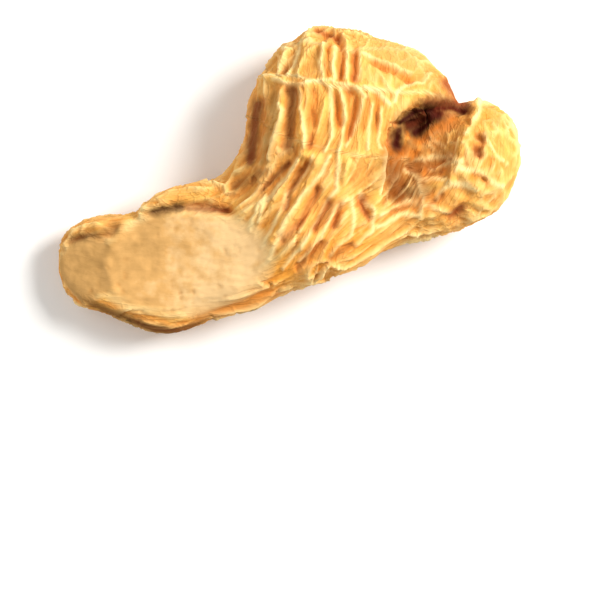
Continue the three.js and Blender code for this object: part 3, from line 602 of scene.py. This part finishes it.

# Browner places of the upper side, in plan: colour, share, half width and the line they lie along. Some
# are the skin's own colour, such as the scar's red-brown streak and the spots; the dark browns in the
# hollow, grooves, slits, pits and crevices, and along the lower rim, are partly painted shade.
stainsAndShade = {
    # Painted shade deep in the hollow between the knobs, in the small knob's shadow, over the hollow's
    # own brownish skin.
    "hollowMiddle": ("#86450c", 0.88, 3.4, ((21.0, 4.4), (21.6, -2.2))),
    "hollowRight": ("#a05814", 0.75, 3.0, ((24.6, 6.2), (25.6, 2.0))),
    "hollow": ("#7e3e0a", 0.95, 2.45, ((17.6, 4.6), (17.4, 1.0), (18.2, -2.4))),
    "domeRight": ("#cb9148", 0.7, 5.0, ((16.5, 20.5), (23.5, 17.5))),
    "fan": ("#da841e", 0.35, 5.0, ((2.5, -2.5), (-2, -8.5))),
    "lowerEdge": ("#ea9426", 0.7, 2.6, ((-6, -17.6), (4, -13.4), (12, -9.8))),
    "flankShade": ("#9c6628", 0.75, 2.2, ((-3.0, 13.0), (-3.1, 9), (-3.8, 3.6))),
    "faceMark": ("#c08a44", 0.4, 3.0, ((-26, -18.6), (-20, -21.4))),
    # Painted shade in part: the scar's floor lies in the shade under the dome's edge.
    "scarFloor": ("#84461c", 0.9, 2.4, ((19.6, 8.4), (21.6, 6.8), (26.4, 9.8))),
    # Painted shade in part: the orange lower rim of the skin, darker where it faces away from the light.
    "lowRim": ("#d8802a", 0.8, 1.2, ((-14.5, -22.4), (-8, -20.6), (-3, -18.8))),
    "scarRed": ("#6a240e", 0.95, 1.8, ((23.2, 12.0), (29.0, 12.6))),
    "domeEdge": ("#8a3412", 0.9, 1.3, ((26.4, 15.9), (28.6, 13.2))),
    # The scar's darkest browns: the scar's own red-brown tissue, deepened into painted shade in its
    # holes, its pits and the crevice under the dome's edge.
    "scarDark": ("#4e1806", 1.0, 1.9, ((19.8, 9.2), (22.4, 10.0), (24.8, 10.8))),
    "scarArc": ("#3c1208", 1.0, 0.9, ((18.6, 9.4), (21.0, 11.2), (24.2, 11.4))),
    "scarArcRight": ("#561a0a", 1.0, 0.8, ((24.2, 11.6), (27.3, 11.9), (29.4, 11.3))),
    "scarHole": ("#3c0c04", 1.0, 1.35, ((18.3, 8.0), (17.9, 5.8))),
    "scarPit": ("#3a0c04", 1.0, 1.1, ((21.0, 7.8), (22.6, 8.8), (23.8, 10.2))),
    "scarPitUpper": ("#380e05", 1.0, 0.6, ((21.6, 10.6), (23.6, 11.6))),
    "scarStub": ("#8e4e1e", 0.8, 0.6, ((20.0, 6.4), (20.9, 5.4))),
    # Painted shade in the recessed channels of the left flank, which faces away from the light.
    "flankStrip": ("#7c3214", 0.9, 1.0, ((-4.8, 12.5), (-5.3, 9), (-6.0, 3))),
    "flankChannel": ("#96541e", 0.8, 1.0, ((1.0, 14.8), (0.7, 10), (0.2, 4.4))),
    # Painted shadow: the dark gap under the bud.
    "budGap": ("#3a1206", 0.95, 1.0, ((-22.0, -5.4), (-19.6, -4.9), (-17.5, -4.6))),
    "budGapRight": ("#7a300c", 0.9, 0.6, ((-16.2, -4.7), (-13, -4.8), (-9.8, -4.9))),
    "budStreak": ("#96521c", 0.8, 0.9, ((-8.4, -1.2), (-4.6, 0.8))),
    "budSpot": ("#c07a28", 0.7, 0.5, ((-11.4, -2.5), (-11.2, -2.2))),
    "faceSpot": ("#b46a26", 0.6, 0.5, ((-22.2, -6.8), (-21.2, -7.5))),
    "faceSpotRight": ("#b8742e", 0.5, 0.45, ((-19.4, -7.4), (-18.8, -6.6))),
    "faceSpotLow": ("#b8762e", 0.45, 0.5, ((-22.4, -16.9), (-21.8, -17.6))),
    # Browns of the tip's groove and fold: partly the skin's own, partly painted shade in them.
    "tipGroove": ("#6e3c16", 0.85, 1.2, ((-35.6, -10.0), (-33.2, -9.4), (-31.4, -9.0))),
    "tipFold": ("#8a5624", 0.75, 1.1, ((-31.4, -8.8), (-28.6, -8.0))),
    "knobUpperPit": ("#9c5a18", 0.9, 0.7, ((31.3, 7), (31.8, 6.7))),
    "knobLowerPit": ("#8e4412", 0.9, 0.8, ((31, 4.9), (31, 4.1))),
    "knobOrange": ("#d88420", 0.6, 1.0, ((33, 10.9), (35, 10.4))),
    "heelSpot": ("#8c3608", 0.8, 0.8, ((26.7, -5.9), (28.5, -4.6))),
    # Browns along slits and valleys: partly the skin's own, partly painted shade in them.
    "crownSlit": ("#a85018", 0.9, 0.6, ((5, 24.6), (8.4, 22.9))),
    "crownSlot": ("#b8601a", 0.7, 0.5, ((10.9, 20.5), (10.9, 16.2))),
    "knobValley": ("#c47224", 0.6, 0.6, ((9.9, 14.2), (10.6, 11.5), (10.5, 9), (9.4, 6.6))),
    "fanValley": ("#a05418", 0.7, 0.6, ((7, -4.2), (6, -6.2), (4.4, -8))),
    # Painted shade in part: the dark lower rim round the finger's tip and underside is the rim's own
    # brown with the shade on it.
    "tipRim": ("#744414", 0.85, 0.8, ((-36.6, -16.2), (-33.6, -19.4), (-30, -21.4), (-26, -23))),
    "lowRimLeft": ("#72340e", 0.9, 1.0, ((-26.0, -23.0), (-22, -24.4), (-17.7, -25.0), (-14, -24))),
}
stainAndShadeLayering = {
    "foldShare": 0.8,
    "wideFrom": 2,  # half width from which a browner place lies under all the others
    "softFrom": 2.46,  # half width from which it fades slowly
    "edgeColour": "#dc7414",  # a narrow brown place turns orange at its edge
    "edgeShare": 0.65,
    "edgeWidth": (1.4, 0.35),  # half width of that edge: times the place's own, and mm more
    "ragged": ((1.3, 0.35), (0.5, 0.25)),  # size and share of the noise on a browner place's outline
    "fade": (-0.25, 0.1),  # up part of the normal between which the browner places set in
    "ridgeLoss": 0.75,
    "tornLoss": 0.9,
    "fibreShare": 0.25,
}
folds = [(code, stainAndShadeLayering["foldShare"], half, line) for _, half, code, line in skin["folds"].values()]
narrow = [stain for stain in stainsAndShade.values() if stain[2] < stainAndShadeLayering["wideFrom"]] + folds
narrow = sorted(narrow, key=lambda stain: -stain[2])
wide = [stain for stain in stainsAndShade.values() if stain[2] >= stainAndShadeLayering["wideFrom"]]
times, more = stainAndShadeLayering["edgeWidth"]
edges = [(stainAndShadeLayering["edgeColour"], stainAndShadeLayering["edgeShare"], times * half + more, line)
         for _, _, half, line in narrow]
stainAndShadeColour = np.zeros((len(points), 4))
stainAndShadeShare = np.zeros(len(points))
brown = np.zeros(len(points))  # how brown a narrow place is: no pale ridge shows in it
(coarse, coarseShare), (close, closeShare) = stainAndShadeLayering["ragged"]
outline = 1 + coarseShare * swell(*points.T, 7, coarse) + closeShare * swell(*points.T, 8, close)
for code, share, half, line in wide + edges + narrow:
    sharp = 2 if half > stainAndShadeLayering["softFrom"] else 3
    way = lineDistance(line, points[:, 0], points[:, 1])
    amount = share * np.exp(-(way / (half * outline)) ** sharp)
    amount *= smooth(normals[:, 2], *stainAndShadeLayering["fade"])
    newShare = np.maximum(stainAndShadeShare, amount)
    part = (amount / np.maximum(newShare, 1e-6))[:, None]
    stainAndShadeColour += (np.array(srgb(code)) - stainAndShadeColour) * part
    stainAndShadeShare = newShare
    if half < stainAndShadeLayering["wideFrom"]:
        brown = np.maximum(brown, np.sqrt(amount) * (1 - srgb(code)[0]))
maps["stained"] = stainAndShadeShare
ridgeShown = (1 - brown) * (1 - stainAndShadeLayering["ridgeLoss"] * stainAndShadeShare ** 2)
ridgeShown = ridgeShown * (1 - stainAndShadeLayering["tornLoss"] * maps.pop("torn"))
maps["ridge"] = np.maximum(0.8 * maps["ridge"] - 0.12, 0) * ridgeShown
maps["fibreShown"] = stainAndShadeLayering["fibreShare"] * (1 - stainAndShadeShare ** 2)
maps["cutTipShade"] = 0.7 * maps["cutTipShade"] - 0.7
maps["bumpShown"] = 1 - 0.85 * maps["peeled"]

rhizomeMesh = bpy.data.meshes.new("gingerRoot")
rhizomeMesh.from_pydata((points * mm).tolist(), [], triangles.tolist())
rhizomeMesh.polygons.foreach_set("use_smooth", np.ones(len(triangles), bool))
for name, values in maps.items():
    kind, key = ("FLOAT", "value") if values.ndim == 1 else ("FLOAT_VECTOR", "vector")
    layer = rhizomeMesh.attributes.new(name, kind, "POINT")
    layer.data.foreach_set(key, values.astype(np.float32).ravel())
layer = rhizomeMesh.attributes.new("stainAndShadeColour", "FLOAT_COLOR", "POINT")
layer.data.foreach_set("color", stainAndShadeColour.astype(np.float32).ravel())
rhizomeMesh.update()
ginger = bpy.data.objects.new("gingerRoot", rhizomeMesh)
bpy.context.scene.collection.objects.link(ginger)


# Adds one node. Its settings are set by name, its inputs by name or number, as a value or a link.
def addNode(tree, kind, settings, inputs, output=0):
    node = tree.nodes.new(kind)
    for key, value in settings.items():
        setattr(node, key, value)
    for key, value in inputs.items():
        if isinstance(value, bpy.types.NodeSocket):
            tree.links.new(value, node.inputs[key])
        else:
            node.inputs[key].default_value = value
    return node.outputs[output]


# Dried skin of the root: cork cells shrunk onto the flesh as it dried in the sun. The skin is paler on
# the ridges and browner in the folds, partly its own colour and partly painted shade in the folds and
# hollows, with painted orange shade on its steep flanks; it is matt all over. Where a knife took the skin
# off, the flesh shows as a smooth cream face with faint flecks.
look = {
    # The skin ramp's browns towards the folds are partly painted shade.
    "skin": ((0.3, "#b0601a"), (0.6, "#d48a30"), (0.95, "#e9a946")),  # from the folds to the flats
    # cut: darker towards the tip, painted shade of the tip facet.
    "cut": ((0.0, "#b98c50"), (0.45, "#d6a462"), (0.85, "#f0c68a")),  # from the tip inwards
    # fold: painted shade, mixed in deep in hollows.
    "fold": "#b0601a",
    "crest": "#fadc99",
    # side: painted orange shade on the steep flanks.
    "side": "#de8f33",
    "speck": "#a86c2c",
    "skinNoise": {"blotch": 0.3, "fibre": 0.35, "grain": 0.3},  # how much each moves the colour
    "cutNoise": {"blotch": 0.8, "mottle": 0.9},
    "roughness": 0.66,
    "roughGrain": 0.14,
    "specular": 0.08,  # dry cork hardly shines
    "blotchSize": 5.9,  # mm
    "mottleSize": 1.9,
    "grainSize": 0.6,  # the real cork cells are 0.05 mm, too fine to show
    "fibreSize": (0.45, 0.45, 4.0),
    "crackSize": (0.9, 0.9, 3.2),
    "crackHalf": 0.12,  # of a crack's cell
    "bumpHeight": 0.25,
    "bumpStrength": 0.8,
    "bumpGrain": 0.35,
    "bumpCrack": 0.35,
}


def driedSkin():
    material = bpy.data.materials.new("dried_ginger_skin")
    material.use_nodes = True
    tree = material.node_tree
    noise, maths, mix = "ShaderNodeTexNoise", "ShaderNodeMath", "ShaderNodeMix"
    addTo = {"operation": "MULTIPLY_ADD"}
    scaled = {"operation": "DIVIDE"}
    colours = {"data_type": "RGBA"}
    drawn = {}
    for name in maps:
        output = "Vector" if name == "grown" else "Fac"
        drawn[name] = addNode(tree, "ShaderNodeAttribute", {"attribute_name": name}, {}, output)
    # The browner places' colour: stains and painted shade together.
    stain = addNode(tree, "ShaderNodeAttribute", {"attribute_name": "stainAndShadeColour"}, {}, "Color")

    place = addNode(tree, "ShaderNodeTexCoord", {}, {}, "Object")
    noises = {}
    for name, detail in (("blotch", 4), ("mottle", 5), ("grain", 3)):
        scale = 1 / (look[name + "Size"] * mm)
        noises[name] = addNode(tree, noise, {}, {"Vector": place, "Scale": scale, "Detail": detail})
    along = addNode(tree, "ShaderNodeVectorMath", scaled, {0: drawn["grown"], 1: look["fibreSize"]})
    noises["fibre"] = addNode(tree, noise, {}, {"Vector": along, "Scale": 1, "Detail": 3})
    along = addNode(tree, "ShaderNodeVectorMath", scaled, {0: drawn["grown"], 1: look["crackSize"]})
    toEdge = {"feature": "DISTANCE_TO_EDGE"}
    crack = addNode(tree, "ShaderNodeTexVoronoi", toEdge, {"Vector": along, "Scale": 1}, "Distance")
    toSeam = {0: crack, 1: 0.0, 2: look["crackHalf"], 3: 1.0, 4: 0.0}
    seam = addNode(tree, "ShaderNodeMapRange", {}, toSeam)

    # The ridge-to-valley map: paler crests and browner valleys, partly painted shade in the valleys.
    worn = drawn["worn"]
    for name, share in look["skinNoise"].items():
        worn = addNode(tree, maths, addTo, {0: noises[name], 1: share, 2: worn})
    skinColour = addNode(tree, "ShaderNodeValToRGB", {}, {0: worn})
    cutTipShade = drawn["cutTipShade"]
    for name, share in look["cutNoise"].items():
        cutTipShade = addNode(tree, maths, addTo, {0: noises[name], 1: share, 2: cutTipShade})
    cutColour = addNode(tree, "ShaderNodeValToRGB", {}, {0: cutTipShade})
    for ramp, stops in ((skinColour, look["skin"]), (cutColour, look["cut"])):
        elements = ramp.node.color_ramp.elements
        elements.new(0.5)
        for element, (stop, code) in zip(elements, stops):
            element.position = stop
            element.color = srgb(code)

    # Painted shade first: orange on the steep flanks and brown deep in hollows; then the browner places,
    # stains and painted shade together.
    layers = (
        (drawn["side"], srgb(look["side"])),
        (drawn["sunk"], srgb(look["fold"])),
        (drawn["stained"], stain),
    )
    for share, layer in layers:
        skinColour = addNode(tree, mix, colours, {0: share, 6: skinColour, 7: layer}, 2)
    toRidge = {0: noises["fibre"], 1: drawn["fibreShown"], 2: drawn["ridge"]}
    ridge = addNode(tree, maths, addTo, toRidge)
    skinColour = addNode(tree, mix, colours, {0: ridge, 6: skinColour, 7: srgb(look["crest"])}, 2)
    colour = addNode(tree, mix, colours, {0: drawn["peeled"], 6: skinColour, 7: cutColour}, 2)
    colour = addNode(tree, mix, colours, {0: drawn["speck"], 6: colour, 7: srgb(look["speck"])}, 2)

    toRough = {0: noises["grain"], 1: look["roughGrain"], 2: look["roughness"]}
    rough = addNode(tree, maths, addTo, toRough)
    height = noises["fibre"]
    for source, share in ((noises["grain"], look["bumpGrain"]), (seam, look["bumpCrack"])):
        height = addNode(tree, maths, addTo, {0: source, 1: share, 2: height})
    height = addNode(tree, maths, {"operation": "MULTIPLY"}, {0: height, 1: drawn["bumpShown"]})
    toBump = {"Strength": look["bumpStrength"], "Distance": look["bumpHeight"] * mm, "Height": height}
    normal = addNode(tree, "ShaderNodeBump", {}, toBump)
    shader = tree.nodes["Principled BSDF"]
    shader.inputs["Specular IOR Level"].default_value = look["specular"]
    for name, output in (("Base Color", colour), ("Roughness", rough), ("Normal", normal)):
        tree.links.new(output, shader.inputs[name])
    return material


rhizomeMesh.materials.append(driedSkin())
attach(ginger, "root")
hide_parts("rhizome")
print("stage: material")

# The studio: a pale floor, a soft key light from the right that rakes over the wrinkles, and a
# weak fill from the left.
studio = {
    "floorSize": 3.0,
    "floorColour": "#f6f4f0",
    "floorRoughness": 0.9,
    "aimAt": (0.002, 0.0, 0.010),
    "key": {"at": (0.38, 0.17, 0.38), "size": 0.24, "power": 4.6},
    "fill": {"at": (-0.35, 0.10, 0.45), "size": 0.5, "power": 1.0},
    "sky": 0.45,
}
floorMesh = bpy.data.meshes.new("floor")
half = studio["floorSize"] / 2
corners = [(-half, -half, 0), (half, -half, 0), (half, half, 0), (-half, half, 0)]
floorMesh.from_pydata(corners, [], [(0, 1, 2, 3)])
floor = bpy.data.objects.new("floor", floorMesh)
bpy.context.scene.collection.objects.link(floor)
floorPaint = bpy.data.materials.new("pale_floor")
floorPaint.use_nodes = True
paint = floorPaint.node_tree.nodes["Principled BSDF"].inputs
paint["Base Color"].default_value = srgb(studio["floorColour"])
paint["Roughness"].default_value = studio["floorRoughness"]
floorMesh.materials.append(floorPaint)


def aim(thing, at, target):
    thing.location = at
    thing.rotation_euler = (Vector(target) - Vector(at)).to_track_quat("-Z", "Y").to_euler()


for name in ("key", "fill"):
    lamp = bpy.data.lights.new(name, "AREA")
    lamp.size = studio[name]["size"]
    lamp.energy = studio[name]["power"]
    holder = bpy.data.objects.new(name, lamp)
    bpy.context.scene.collection.objects.link(holder)
    aim(holder, studio[name]["at"], studio["aimAt"])
world = bpy.data.worlds.new("studio")
world.use_nodes = True
sky = world.node_tree.nodes["Background"].inputs
sky["Color"].default_value = (1, 1, 1, 1)
sky["Strength"].default_value = studio["sky"]
bpy.context.scene.world = world

# The camera looks straight down. Its picture is 99 mm wide at the height of the root's middle.
lookDown = {"middle": (2.145, -19.635), "width": 99.0, "sensor": 36.0, "above": 0.5, "middleHeight": 10.0}
eye = bpy.data.cameras.new("camera")
eye.sensor_width = lookDown["sensor"]
eye.lens = lookDown["sensor"] * lookDown["above"] / (lookDown["width"] * mm)
camera = bpy.data.objects.new("camera", eye)
eyeX, eyeY = (place * mm for place in lookDown["middle"])
camera.location = (eyeX, eyeY, lookDown["above"] + lookDown["middleHeight"] * mm)
bpy.context.scene.collection.objects.link(camera)
bpy.context.scene.camera = camera
bpy.context.scene.view_settings.view_transform = "Standard"  # colours come out as they were mixed

print("stage: studio and camera")
